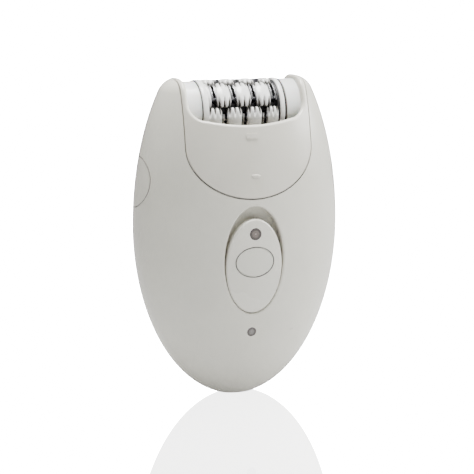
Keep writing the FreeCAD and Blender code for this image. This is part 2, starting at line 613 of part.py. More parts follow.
def head_parts():
    """Axle, collars and the press roller inside the head."""
    level, axle = S["roller_level"], S["axle_radius"]
    head = head_body()
    shape_node("head_front_cover", largest_solid(half(head, -1)))
    shape_node("head_rear_cover", largest_solid(half(head, 1)))
    screws("head_screws", [V(x, seat, z) for x, z, seat in HEAD_SCREWS], S["small_screw_radius"], 1.5, 15.0, 1.0,
           Y_AXIS)
    keep("roller_axle", rod("roller_axle", "Sizes.axle_radius", "Sizes.axle_half_length * 2",
                            V(-S["axle_half_length"], 0, level), X_AXIS))
    radius, bore = S["collar_radius"], axle + 0.02
    left = Part.makeCylinder(radius, 4.3, V(-17.2, 0, level), X_AXIS)
    groove = Part.makeCylinder(7.0, 2.6, V(-15.5, 0, level), X_AXIS)
    groove = groove.cut(Part.makeCylinder(3.2, 2.6, V(-15.5, 0, level), X_AXIS))
    left = left.cut(groove).cut(Part.makeCylinder(bore, 6, V(-18, 0, level), X_AXIS))
    angle = math.radians(45)
    outward = V(0, -math.cos(angle), math.sin(angle))
    centre = V(-14.25, 0, level)
    pin_hole = Part.makeCylinder(0.42, 6.0, centre + outward * 2.5, outward)
    shape_node("left_collar", left.cut(pin_hole))
    shape_node("press_roller_pin", Part.makeCylinder(0.4, 5.6, centre + outward * 2.7, outward))
    roller = Part.makeCylinder(0.88, 1.5, centre + outward * 4.45, outward)
    shape_node("press_roller", roller.cut(Part.makeCylinder(0.45, 3, centre + outward * 4, outward)))
    right = Part.makeCylinder(radius, 4.3, V(12.9, 0, level), X_AXIS)
    right = right.cut(Part.makeCylinder(8.5, 3.3, V(12.9, 0, level), X_AXIS))
    right = right.cut(Part.makeCylinder(bore, 6, V(12, 0, level), X_AXIS))
    right = right.cut(Part.makeCylinder(3.4, 9.5, V(S["transfer_x"], 0, 68)))
    shape_node("right_collar", right)


def roller_parts():
    """Drum, its bushes, crown gear and the star spring that returns the push bars."""
    level = S["roller_level"]
    roller_drum()
    bore = S["axle_radius"] + S["running_gap"]
    bushes = []
    for left in (S["roller_left"], S["roller_right"] - 3.0):
        tube = Part.makeCylinder(S["bush_radius"], 3.0, V(left, 0, level), X_AXIS)
        bushes.append(tube.cut(Part.makeCylinder(bore, 5.0, V(left - 1, 0, level), X_AXIS)))
    shape_node("roller_bushes", Part.makeCompound(bushes))
    crown_gear()
    star = Part.makeCylinder(4.3, 0.2, V(12.55, 0, level), X_AXIS)
    for row in range(6):
        star = star.fuse(into_row(Part.makeBox(0.2, 1.6, 3.0, V(12.55, -0.8, 3.6)), row))
    shape_node("star_spring", star.cut(Part.makeCylinder(3.42, 2, V(12, 0, level), X_AXIS)).removeSplitter())
    tweezers()


def power_parts():
    """Cell, contacts, board, switch, lamps and charging socket."""
    keep("battery_cell", rod("battery_cell", "Sizes.cell_radius", "Sizes.cell_length", V(-13, 0, 24)))
    strips = [Part.makeBox(6, 5, 0.4, V(-16, -2.5, low)) for low in (23.55, 67.05)]
    shape_node("battery_contacts", Part.makeCompound(strips))
    board = block("circuit_board", "Sizes.board_width", "Sizes.board_thickness", "Sizes.board_height",
                  V(-8, -9.5, 18))
    keep("circuit_board", board)
    switch = boolean("Cut", "power_switch", block("switch_case", "8.6 mm", "2.7 mm", "9 mm", V(-4.3, -12.25, 37.5)),
                     block("switch_slot", "2.2 mm", "1.6 mm", "5.9 mm", V(-1.1, -12.6, 39.7)))
    keep("power_switch", switch)
    for label, height in (("charge_led", S["status_level"]), ("power_led", S["lens_level"] + 1.7)):
        keep(label, rod(label, "Sizes.led_radius", "Sizes.led_length", V(0, -12.32, height), Y_AXIS))
    front = Part.makeBox(80, 40, 120, V(-40, -40, 0))
    lens = y_rod(0, S["status_level"], S["status_radius"], -25, -5).common(SKIN).common(front)
    shape_node("status_lens", largest_solid(lens.cut(INSIDE)))
    radius, bore = S["socket_radius"], S["socket_bore"]
    section = [(0.0, 3.0), (radius, 3.0), (radius, 10.2), (bore, 10.2), (bore, 4.5), (0.0, 4.5)]
    socket = turned("charging_socket", section, "V_Axis", "XY_Plane")
    socket.Placement.Base = V(0, 0, S["socket_level"])
    keep("socket_pin", rod("socket_pin", "Sizes.pin_radius", "4.7 mm", V(0, 4.5, S["socket_level"]), Y_AXIS))
    tabs = [Part.makeBox(1.6, 2.0, 0.3, V(-0.8, 0.9, S["socket_level"] + offset)) for offset in (-1.8, 1.5)]
    shape_node("socket_terminals", Part.makeCompound(tabs))


def check_and_write():
    """Recompute, refuse anything failed or invalid, then write one file per sub-part."""
    doc.recompute()
    for item in doc.Objects:
        if "Invalid" in item.State or "Error" in item.State:
            raise RuntimeError(f"{item.Label} failed: {item.State}")
    os.makedirs("parts", exist_ok=True)
    for old in os.listdir("parts"):
        os.remove(os.path.join("parts", old))
    for node in nodes:
        if node.Shape.isNull() or not node.Shape.isValid():
            raise RuntimeError(f"{node.Label} has a bad shape")
        node.Shape.exportStep(f"parts/{node.Label}.step")
        box = node.Shape.BoundBox
        print(f"{node.Label:22s} solids {len(node.Shape.Solids)} volume {node.Shape.Volume:9.1f}"
              f"  x {box.XMin:6.1f} {box.XMax:6.1f}  y {box.YMin:6.1f} {box.YMax:6.1f}"
              f"  z {box.ZMin:5.1f} {box.ZMax:5.1f}")


case = case_body()
shape_node("front_shell", largest_solid(half(case, -1)))
shape_node("rear_shell", largest_solid(half(case, 1)))
screws("case_screws", [V(x, seat, z) for x, z, seat in CASE_SCREWS], S["screw_radius"], S["screw_head_radius"],
       12.0, 1.4, Y_AXIS)
slider_parts()
release_parts()
drive_parts()
head_parts()
roller_parts()
power_parts()
check_and_write()
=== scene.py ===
"""Finished look of a cordless epilator: white moulded handle, lift-off head and tweezer roller."""

import logging
import math
from dataclasses import dataclass, field
from enum import Enum
from typing import Any, Sequence

import bmesh
import bpy
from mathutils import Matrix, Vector

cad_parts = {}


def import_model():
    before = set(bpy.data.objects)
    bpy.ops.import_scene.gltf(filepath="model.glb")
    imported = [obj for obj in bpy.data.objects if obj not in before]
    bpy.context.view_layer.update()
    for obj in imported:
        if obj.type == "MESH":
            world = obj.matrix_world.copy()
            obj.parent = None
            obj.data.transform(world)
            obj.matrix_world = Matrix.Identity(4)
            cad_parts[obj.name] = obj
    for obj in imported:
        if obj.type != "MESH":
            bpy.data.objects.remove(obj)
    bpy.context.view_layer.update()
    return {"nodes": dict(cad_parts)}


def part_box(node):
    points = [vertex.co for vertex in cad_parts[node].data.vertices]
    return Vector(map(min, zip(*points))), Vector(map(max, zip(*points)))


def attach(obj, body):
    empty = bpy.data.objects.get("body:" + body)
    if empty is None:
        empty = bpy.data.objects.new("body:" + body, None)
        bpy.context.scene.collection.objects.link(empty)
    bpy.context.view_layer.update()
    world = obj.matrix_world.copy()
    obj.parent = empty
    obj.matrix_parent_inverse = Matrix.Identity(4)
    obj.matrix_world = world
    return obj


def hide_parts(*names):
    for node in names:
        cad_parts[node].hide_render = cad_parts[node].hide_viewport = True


frame: dict[str, Any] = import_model()

log = logging.getLogger("epilator")
logging.basicConfig(level=logging.INFO, format="%(message)s")

MM = 0.001
# A Noise Texture seldom leaves this part of 0 to 1.
NOISE_LOW, NOISE_HIGH = 0.3, 0.7
# Sockets of the colour Mix node, whose names are all alike.
MIX_FACTOR, MIX_FIRST, MIX_SECOND, MIX_RESULT = 0, 6, 7, 2
RING_SIDES = 96
ROUNDING_STEPS = 3


def linear(hex_colour: str) -> tuple[float, float, float, float]:
    """Turn an sRGB hex colour into Blender's linear colour.

    Args:
        hex_colour: Six hex digits, such as "D8D6D0".

    Returns:
        Red, green, blue and alpha, from 0 to 1.
    """
    channels = [int(hex_colour[start:start + 2], 16) / 255 for start in (0, 2, 4)]
    values = [c / 12.92 if c <= 0.04045 else ((c + 0.055) / 1.055) ** 2.4 for c in channels]
    return values[0], values[1], values[2], 1.0


def node(tree: Any, kind: str, settings: dict[str, Any] | None = None,
         inputs: dict[Any, Any] | None = None, stops: Sequence[tuple[float, str]] = ()) -> Any:
    """Add one node with its settings, its constant inputs and its links.

    Args:
        tree: The node tree that gets the node.
        kind: Blender's node type name.
        settings: Properties to set on the node itself.
        inputs: Socket name or number to a constant, or to an output socket that is linked to it.
        stops: Position and hex colour of each stop, where the node has a colour ramp.

    Returns:
        The new node.
    """
    made = tree.nodes.new(kind)
    for name, value in (settings or {}).items():
        setattr(made, name, value)
    for name, value in (inputs or {}).items():
        if isinstance(value, bpy.types.NodeSocket):
            tree.links.new(value, made.inputs[name])
        else:
            made.inputs[name].default_value = value
    if stops:
        elements = made.color_ramp.elements
        while len(elements) < len(stops):
            elements.new(0.5)
        for element, (position, colour) in zip(elements, stops):
            element.position = position
            element.color = linear(colour)
    return made


def new_material(name: str) -> tuple[Any, Any, Any]:
    """Make an empty node material.

    Args:
        name: The material's name.

    Returns:
        The material, its tree and its Principled shader.
    """
    material = bpy.data.materials.new(name)
    material.use_nodes = True
    tree = material.node_tree
    return material, tree, tree.nodes["Principled BSDF"]


def wire_up(tree: Any, shader: Any, links: dict[str, Any]) -> None:
    """Link output sockets to the shader's inputs by name."""
    for name, output in links.items():
        tree.links.new(output, shader.inputs[name])


def oval_reach(tree: Any, place: Any, centre: Sequence[float], weights: Sequence[float]) -> tuple[Any, Any]:
    """Offset and distance from a centre, with each axis weighted.

    Args:
        tree: The material's node tree.
        place: Output socket of the point's place.
        centre: Centre in metres.
        weights: Factor for each axis, 0 for an axis that doesn't count.

    Returns:
        The output sockets of the weighted offset and of its length.
    """
    offset = node(tree, "ShaderNodeVectorMath", {"operation": "SUBTRACT"}, {0: place, 1: tuple(centre)})
    flat = node(tree, "ShaderNodeVectorMath", {"operation": "MULTIPLY"}, {
        0: offset.outputs["Vector"], 1: tuple(weights)})
    away = node(tree, "ShaderNodeVectorMath", {"operation": "LENGTH"}, {0: flat.outputs["Vector"]})
    return flat.outputs["Vector"], away.outputs["Value"]


@dataclass(frozen=True)
class MouldedPlastic:
    """Injection-moulded plastic: a soft cloudy tone and a very fine spark-eroded grain.

    The eye gets a satin sheen with faint unevenness, as on polished ABS.
    """

    name: str
    light: str
    dark: str
    roughness: float = 0.3
    coat: float = 0.25
    cloud_mm: float = 14.0
    grain_mm: float = 0.35
    grain_height_mm: float = 0.006
    subsurface: float = 0.0

    def build(self) -> Any:
        """Build the material.

        Returns:
            The material.
        """
        material, tree, shader = new_material(self.name)
        place = node(tree, "ShaderNodeTexCoord").outputs["Object"]
        cloud = node(tree, "ShaderNodeTexNoise", inputs={
            "Vector": place, "Scale": 1 / (self.cloud_mm * MM), "Detail": 3.0})
        grain = node(tree, "ShaderNodeTexNoise", inputs={
            "Vector": place, "Scale": 1 / (self.grain_mm * MM), "Detail": 2.0})
        bump = node(tree, "ShaderNodeBump", inputs={
            "Height": grain.outputs["Fac"], "Strength": 0.35, "Distance": self.grain_height_mm * MM})
        rough = node(tree, "ShaderNodeMapRange", inputs={
            "Value": cloud.outputs["Fac"], "From Min": NOISE_LOW, "From Max": NOISE_HIGH,
            "To Min": self.roughness - 0.03, "To Max": self.roughness + 0.04})
        shader.inputs["IOR"].default_value = 1.53
        shader.inputs["Coat Weight"].default_value = self.coat
        shader.inputs["Coat Roughness"].default_value = 0.12
        if self.subsurface:
            shader.inputs["Subsurface Weight"].default_value = self.subsurface
            shader.inputs["Subsurface Scale"].default_value = 1.2 * MM
        colour = node(tree, "ShaderNodeValToRGB", inputs={"Fac": cloud.outputs["Fac"]},
                      stops=[(NOISE_LOW, self.dark), (NOISE_HIGH, self.light)])
        wire_up(tree, shader, {"Base Color": colour.outputs["Color"], "Roughness": rough.outputs["Result"],
                               "Normal": bump.outputs["Normal"]})
        return material


@dataclass(frozen=True)
class GapShadedPlastic:
    """Moulded plastic with a dark line of painted shade along its oval groove or parting line, where the
    gap is in shade.

    The eye gets a crisp dark outline on a plain satin face. The line is dark at the first share of the
    oval and unshaded at the second, and it fades out above the oval's lower half where fading is asked for.
    """

    name: str
    light: str
    dark: str
    roughness: float
    gap_shade_colour: str
    centre: tuple[float, float, float]
    reach: tuple[float, float, float]
    shares: tuple[float, float]
    fades: bool = False
    fade_levels: tuple[float, float] = (-0.75, -0.1)

    def build(self) -> Any:
        """Build the material.

        Returns:
            The material.
        """
        material = MouldedPlastic(self.name, self.light, self.dark, self.roughness).build()
        tree = material.node_tree
        shader = tree.nodes["Principled BSDF"]
        unshaded = shader.inputs["Base Color"].links[0].from_socket
        place = node(tree, "ShaderNodeTexCoord").outputs["Object"]
        weights = [1 / half if half else 0.0 for half in self.reach]
        flat, away = oval_reach(tree, place, self.centre, weights)
        share = node(tree, "ShaderNodeMapRange", inputs={
            "Value": away, "From Min": self.shares[0], "From Max": self.shares[1]})
        level = node(tree, "ShaderNodeSeparateXYZ", inputs={"Vector": flat})
        above = node(tree, "ShaderNodeMapRange", inputs={
            "Value": level.outputs["Z"], "From Min": self.fade_levels[0], "From Max": self.fade_levels[1],
            "To Max": 1.0 if self.fades else 0.0})
        unshaded_share = node(tree, "ShaderNodeMath", {"operation": "MAXIMUM"}, {
            0: share.outputs["Result"], 1: above.outputs["Result"]})
        # Painted shade: the gap colour is mixed in along the oval.
        gap_shaded = node(tree, "ShaderNodeMix", {"data_type": "RGBA"}, {
            MIX_FACTOR: unshaded_share.outputs["Value"], MIX_FIRST: linear(self.gap_shade_colour), MIX_SECOND: unshaded})
        wire_up(tree, shader, {"Base Color": gap_shaded.outputs[MIX_RESULT]})
        return material


@dataclass(frozen=True)
class DepthShadedAcetal:
    """White acetal blocks painted darker towards the roller's axis: painted shade on the deep flanks
    between the blades.

    The eye gets bright crowns and dark notches of painted shade at the ends of each row.
    """

    name: str
    crown: str
    shaded_flank: str
    root: str
    level: float
    root_radius: float
    crown_radius: float
    roughness: float = 0.24
    speckle_mm: float = 0.7
    shade_edge_jitter_mm: float = 0.5

    def build(self) -> Any:
        """Build the material.

        Returns:
            The material.
        """
        material, tree, shader = new_material(self.name)
        place = node(tree, "ShaderNodeTexCoord").outputs["Object"]
        _, away = oval_reach(tree, place, (0.0, 0.0, self.level), (0.0, 1.0, 1.0))
        speckle = node(tree, "ShaderNodeTexNoise", inputs={
            "Vector": place, "Scale": 1 / (self.speckle_mm * MM), "Detail": 3.0})
        uneven = node(tree, "ShaderNodeMath", {"operation": "MULTIPLY_ADD"}, {
            0: speckle.outputs["Fac"], 1: self.shade_edge_jitter_mm * MM, 2: away})
        share = node(tree, "ShaderNodeMapRange", inputs={
            "Value": uneven.outputs["Value"], "From Min": self.root_radius, "From Max": self.crown_radius})
        # Painted shade by depth: grey flanks and near-black roots, with a noisy edge.
        colour = node(tree, "ShaderNodeValToRGB", inputs={"Fac": share.outputs["Result"]},
                      stops=[(0.0, self.root), (0.7, self.shaded_flank), (0.96, self.crown)])
        rough = node(tree, "ShaderNodeMapRange", inputs={
            "Value": speckle.outputs["Fac"], "From Min": NOISE_LOW, "From Max": NOISE_HIGH,
            "To Min": self.roughness - 0.04, "To Max": self.roughness + 0.06})
        bump = node(tree, "ShaderNodeBump", inputs={
            "Height": speckle.outputs["Fac"], "Strength": 0.2, "Distance": 0.01 * MM})
        shader.inputs["IOR"].default_value = 1.48
        shader.inputs["Coat Weight"].default_value = 0.3
        wire_up(tree, shader, {"Base Color": colour.outputs["Color"], "Roughness": rough.outputs["Result"],
                               "Normal": bump.outputs["Normal"]})
        return material


@dataclass(frozen=True)
class WorkedMetal:
    """Bare metal with the fine lines of stamping, drawing or turning.

    The eye gets streaked highlights along the working direction.
    """

    name: str
    light: str
    dark: str
    roughness: float = 0.28
    line_mm: float = 0.12
    stain_mm: float = 3.0
    stretch: tuple[float, float, float] = (1.0, 1.0, 0.08)

    def build(self) -> Any:
        """Build the material.

        Returns:
            The material.
        """
        material, tree, shader = new_material(self.name)
        place = node(tree, "ShaderNodeTexCoord").outputs["Object"]
        turned = node(tree, "ShaderNodeMapping", inputs={"Vector": place, "Scale": self.stretch})
        lines = node(tree, "ShaderNodeTexNoise", inputs={
            "Vector": turned.outputs["Vector"], "Scale": 1 / (self.line_mm * MM), "Detail": 4.0})
        stain = node(tree, "ShaderNodeTexNoise", inputs={
            "Vector": place, "Scale": 1 / (self.stain_mm * MM), "Detail": 2.0})
        rough = node(tree, "ShaderNodeMapRange", inputs={
            "Value": lines.outputs["Fac"], "From Min": NOISE_LOW, "From Max": NOISE_HIGH,
            "To Min": self.roughness - 0.08, "To Max": self.roughness + 0.1})
        bump = node(tree, "ShaderNodeBump", inputs={
            "Height": lines.outputs["Fac"], "Strength": 0.3, "Distance": 0.01 * MM})
        colour = node(tree, "ShaderNodeValToRGB", inputs={"Fac": stain.outputs["Fac"]},
                      stops=[(NOISE_LOW, self.dark), (NOISE_HIGH, self.light)])
        shader.inputs["Metallic"].default_value = 1.0
        wire_up(tree, shader, {"Base Color": colour.outputs["Color"], "Roughness": rough.outputs["Result"],
                               "Normal": bump.outputs["Normal"]})
        return material


@dataclass(frozen=True)
class SmokedLens:
    """Cast light pipe of smoked acrylic.

    The eye gets a dark rim round a paler, slightly frosted middle with a faint painted glint at its centre.
    """

    name: str
    rim: str
    middle: str
    painted_glint: str
    centre: tuple[float, float, float]
    radius: float
    frost_mm: float = 0.5
    frost_share: float = 0.25

    def build(self) -> Any:
        """Build the material.

        Returns:
            The material.
        """
        material, tree, shader = new_material(self.name)
        place = node(tree, "ShaderNodeTexCoord").outputs["Object"]
        _, away = oval_reach(tree, place, self.centre, (1 / self.radius, 0.0, 1 / self.radius))
        frost = node(tree, "ShaderNodeTexNoise", inputs={
            "Vector": place, "Scale": 1 / (self.frost_mm * MM)})
        frosted_reach = node(tree, "ShaderNodeMath", {"operation": "MULTIPLY_ADD"}, {
            0: frost.outputs["Fac"], 1: self.frost_share, 2: away})
        # The glint stop near the centre is a painted highlight.
        colour = node(tree, "ShaderNodeValToRGB", inputs={"Fac": frosted_reach.outputs["Value"]}, stops=[
            (0.12, self.painted_glint), (0.3, self.middle), (0.62, self.middle), (0.85, self.rim)])
        rough = node(tree, "ShaderNodeMapRange", inputs={
            "Value": frost.outputs["Fac"], "To Min": 0.12, "To Max": 0.3})
        shader.inputs["IOR"].default_value = 1.49
        shader.inputs["Coat Weight"].default_value = 0.6
        wire_up(tree, shader, {"Base Color": colour.outputs["Color"], "Roughness": rough.outputs["Result"]})
        return material


class Finish(Enum):
    """Every finish on the epilator."""

    # ABS from a lightly etched mould: warm white with a soft satin sheen.
    SHELL = MouldedPlastic("moulded_white_abs_shell", "DAD8CC", "D5D3C7")
    # The same ABS, with painted shade in the lower half of its parting line: a thin dark smile that fades
    # upwards.
    HEAD = GapShadedPlastic("moulded_white_abs_head", "D8D5C9", "D3D0C4", roughness=0.3, gap_shade_colour="4E4A44",
                          centre=(0.0, 0.0, 75.0 * MM), reach=(18.85 * MM, 0.0, 14.45 * MM),
                          shares=(1.0, 0.984), fades=True)
    # ABS handled by the thumb: a shade smoother, with a base painted lighter than the shell's white as
    # painted light, and a crisp dark oval of painted shade round its button.
    SLIDER = GapShadedPlastic("moulded_white_abs_slider", "E1DFD4", "DCDACF", roughness=0.26,
                            gap_shade_colour="4A4742", centre=(0.0, 0.0, 42.2 * MM),
                            reach=(5.86 * MM, 0.0, 4.51 * MM), shares=(0.995, 1.015))
    # Polished ABS: the glossiest of the white parts.
    BUTTON = MouldedPlastic("moulded_white_abs_button", "DBDACF", "D6D5CA", roughness=0.24, coat=0.4)
    # ABS flush with the shell: only a faint grey circle of painted shade in its gap sets it apart.
    SIDE = GapShadedPlastic("moulded_white_abs_side_button", "DAD8CC", "D5D3C7", roughness=0.3,
                          gap_shade_colour="8C8880", centre=(0.0, 0.0, 64.5 * MM),
                          reach=(0.0, 6.5 * MM, 7.2 * MM), shares=(1.0, 0.965))
    # Slippery acetal: cooler and slightly translucent, with a waxy shine.
    ROLLER = MouldedPlastic("moulded_acetal_roller", "ECECE9", "E2E2DE", roughness=0.22, coat=0.3,
                            subsurface=0.08)
    # Acetal cut deep by the slots: bright crowns over painted shade that darkens towards the roots.
    BLOCK = DepthShadedAcetal("moulded_acetal_blocks", "E8E8E5", "7A7874", "1A1918",
                         level=84.0 * MM, root_radius=7.3 * MM, crown_radius=9.1 * MM)
    # Natural nylon: cream and matt.
    GEAR = MouldedPlastic("moulded_nylon_gear", "EFE9D8", "E4DDC8", roughness=0.42, coat=0.0)
    # Black ABS, dull: the own colour of the black inner parts; on the roller's core and thin rings it is
    # painted shade, so the roller's gaps read as dark.
    BLACK = MouldedPlastic("black_abs_and_painted_gap_shade", "1A1A1C", "121214", roughness=0.45, coat=0.0)
    # Glass-filled nylon: dry mid-grey.
    PLATE = MouldedPlastic("moulded_grey_nylon", "4A4D52", "3E4146", roughness=0.5, coat=0.0)
    # Heat-shrunk PVC: tight, green and shiny.
    SLEEVE = MouldedPlastic("shrunk_pvc_sleeve", "24705F", "1C5E50", roughness=0.2, coat=0.5)
    # Glass epoxy under solder lacquer: deep green with a clear gloss.
    BOARD = MouldedPlastic("lacquered_glass_epoxy_board", "1B6B38", "14532B", roughness=0.3, coat=0.4)
    # Cast epoxy: pale and glassy.
    LED = MouldedPlastic("cast_clear_epoxy_lamp", "EDEBDD", "DDDAC8", roughness=0.12, coat=0.6)
    # Stamped spring steel: thin bright edges between the blocks.
    BLADE = WorkedMetal("stamped_spring_steel_blade", "A9A9AA", "8E8E90", roughness=0.24)
    # Ground steel: highlights drawn out along the rod.
    ROD = WorkedMetal("ground_steel_rod", "B9B9BC", "A2A2A6", roughness=0.2, stretch=(0.08, 1.0, 1.0))
    # Drawn wire: a soft line of light on each turn.
    SPRING = WorkedMetal("drawn_spring_wire", "A6A6A8", "8A8A8D", roughness=0.3)
    # Zinc plate: cool and bright.
    SCREW = WorkedMetal("zinc_plated_screw", "C2C3C6", "A9AAAE", roughness=0.25)
    # Plated deep-drawn steel: long vertical streaks.
    CAN = WorkedMetal("plated_deep_drawn_can", "B4B5B8", "9C9DA1", roughness=0.32)
    # Turned brass: warm yellow with fine rings.
    BRASS = WorkedMetal("turned_brass", "D3B36B", "B8954D", roughness=0.26)
    # Nickel plate: slightly warm silver.
    NICKEL = WorkedMetal("nickel_plated_strip", "C8C4BA", "AFABA0", roughness=0.22)


class Paintbox:
    """Builds each finish once and hands it out."""

    def __init__(self) -> None:
        """Start with nothing built."""
        self.ready: dict[str, Any] = {}

    def get(self, finish: Any) -> Any:
        """Find the material of a finish, and build it the first time.

        Args:
            finish: Enum member, or a single finish object.

        Returns:
            The material.
        """
        recipe = finish.value if isinstance(finish, Enum) else finish
        if recipe.name not in self.ready:
            self.ready[recipe.name] = recipe.build()
        return self.ready[recipe.name]

    def dress(self, piece: Any, finish: Any) -> None:
        """Give a whole piece one finish.

        Args:
            piece: The object to dress.
            finish: Enum member, or a single finish object.
        """
        piece.data.materials.clear()
        piece.data.materials.append(self.get(finish))
        log.info("%s: %s", piece.name, piece.data.materials[0].name)


def new_piece(name: str, mesh: Any, body: str, stands_for: Sequence[str] = ()) -> Any:
    """Args:
        name: Name of the piece.
        mesh: Finished mesh, in metres, in the row frame.
        body: CAD body that it rides on.
        stands_for: CAD nodes that it replaces.

    Returns:
        The new object.
    """
    piece = bpy.data.objects.new(name, mesh)
    bpy.context.scene.collection.objects.link(piece)
    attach(piece, body)
    if stands_for:
        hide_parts(*stands_for)
    return piece


def mesh_from_tree(name: str, tree: Any, values: dict[str, float]) -> Any:
    """Run a geometry node tree on an empty mesh and keep the result as a plain mesh.

    Args:
        name: Name for the new mesh.
        tree: The node tree.
        values: Value of each named input.

    Returns:
        The new mesh.
    """
    holder = bpy.data.objects.new(name + "_maker", bpy.data.meshes.new(name + "_maker"))
    bpy.context.scene.collection.objects.link(holder)
    modifier = holder.modifiers.new("maker", "NODES")
    modifier.node_group = tree
    for item in tree.interface.items_tree:
        if item.in_out == "INPUT":
            modifier[item.identifier] = values[item.name]
    solved = holder.evaluated_get(bpy.context.evaluated_depsgraph_get())
    mesh = bpy.data.meshes.new_from_object(solved)
    mesh.name = name
    bpy.data.objects.remove(holder)
    return mesh


def ring(work: Any, low: float, high: float, inner: float, outer: float, edge: float, level: float) -> None:
    """Add a ring about the roller's axis with rounded outer edges to a bmesh.

    Args:
        work: The bmesh.
        low: Left end along X.
        high: Right end along X.
        inner: Inner radius.
        outer: Outer radius.
        edge: Radius of the rounded edges.
        level: Height of the axis.
    """
    left = [(low, inner)]
    for step in range(ROUNDING_STEPS + 1):
        angle = math.pi / 2 * step / ROUNDING_STEPS
        left.append((low + edge * (1 - math.cos(angle)), outer - edge * (1 - math.sin(angle))))
    section = left + [(low + high - x, radius) for x, radius in reversed(left)]
    turns = [math.tau * step / RING_SIDES for step in range(RING_SIDES)]
    loops = [[work.verts.new((x, radius * math.cos(turn), level + radius * math.sin(turn)))
              for turn in turns] for x, radius in section]
    for first, second in zip(loops, loops[1:] + loops[:1]):
        for step in range(RING_SIDES):
            following = (step + 1) % RING_SIDES
            work.faces.new((first[step], first[following], second[following], second[step]))


@dataclass
class Casework:
    """White shells, head covers, slider, buttons and lenses."""

    paint: Paintbox
    finishes: dict[str, Finish] = field(default_factory=lambda: {
        "front_shell": Finish.SHELL, "rear_shell": Finish.SHELL,
        "head_front_cover": Finish.HEAD, "head_rear_cover": Finish.HEAD,
        "switch_slider": Finish.SLIDER, "lock_button": Finish.BUTTON,
        "release_button_left": Finish.SIDE, "release_button_right": Finish.SIDE})

    half_width: float = 31.0 * MM
    half_depth: float = 17.8 * MM
    widest_level: float = 50.97 * MM
    high_axis: float = 59.23 * MM
    mark_place: tuple[float, float] = (0.3 * MM, 67.0 * MM)
    mark_size: tuple[float, float] = (1.45 * MM, 0.55 * MM)
    mark_rise: float = 0.22 * MM
    mark_sink: float = 0.02 * MM
    mark_root: float = 0.3 * MM
    mark_grid: tuple[int, int] = (17, 9)
    lens_rim: str = "3C3631"
    # Each lens: its name, its middle tone and the tone of its painted glint.
    lens_tones: tuple[tuple[str, str, str], ...] = (
        ("slider_lens", "6A605A", "A89D95"), ("status_lens", "6E6A67", "86827F"))

    def skin_depth(self, x: float, z: float) -> float:
        """Front surface of the egg form at a point above its widest level."""
        level = (z - self.widest_level) / self.high_axis
        return -self.half_depth * math.sqrt(max(0.0, 1 - (x / self.half_width) ** 2 - level ** 2))

    def raised_mark(self) -> Any:
        """Shape the small raised mark that shows where the head comes off.

        Returns:
            The closed mesh, with its root inside the cover.
        """
        work = bmesh.new()
        columns, rows = self.mark_grid
        front, back = [], []
        for row in range(rows):
            for column in range(columns):
                u, v = 2 * column / (columns - 1) - 1, 2 * row / (rows - 1) - 1
                x = self.mark_place[0] + self.mark_size[0] * u * math.sqrt(1 - v * v / 2)
                z = self.mark_place[1] + self.mark_size[1] * v * math.sqrt(1 - u * u / 2)
                rise = self.mark_rise * (1 - max(abs(u), abs(v)) ** 4) - self.mark_sink
                depth = self.skin_depth(x, z)
                front.append(work.verts.new((x, depth - rise, z)))
                back.append(work.verts.new((x, depth + self.mark_root, z)))
        for row in range(rows - 1):
            for column in range(columns - 1):
                corners = [row * columns + column, row * columns + column + 1,
                           (row + 1) * columns + column + 1, (row + 1) * columns + column]
                work.faces.new([front[corner] for corner in corners])
                work.faces.new([back[corner] for corner in reversed(corners)])
        rim = list(range(columns))
        rim += [row * columns + columns - 1 for row in range(1, rows)]
        rim += [(rows - 1) * columns + column for column in range(columns - 2, -1, -1)]
        rim += [row * columns for row in range(rows - 2, 0, -1)]
        for index, place in enumerate(rim):
            following = rim[(index + 1) % len(rim)]
            work.faces.new((front[following], front[place], back[place], back[following]))
        bmesh.ops.recalc_face_normals(work, faces=work.faces)
        mesh = bpy.data.meshes.new("raised_mark")
        work.to_mesh(mesh)
        work.free()
        mesh.polygons.foreach_set("use_smooth", [True] * len(mesh.polygons))
        return mesh

    def build(self) -> None:
        """Dress every case piece."""
        for name, finish in self.finishes.items():
            self.paint.dress(frame["nodes"][name], finish)
        self.paint.dress(new_piece("raised_mark", self.raised_mark(), "head"), Finish.HEAD)
        for name, middle, painted_glint in self.lens_tones:
            low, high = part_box(name)
            centre = tuple((a + b) / 2 for a, b in zip(low, high))
            radius = (high[0] - low[0]) / 2
            lens = SmokedLens("smoked_acrylic_" + name, self.lens_rim, middle, painted_glint, centre, radius)
            self.paint.dress(frame["nodes"][name], lens)


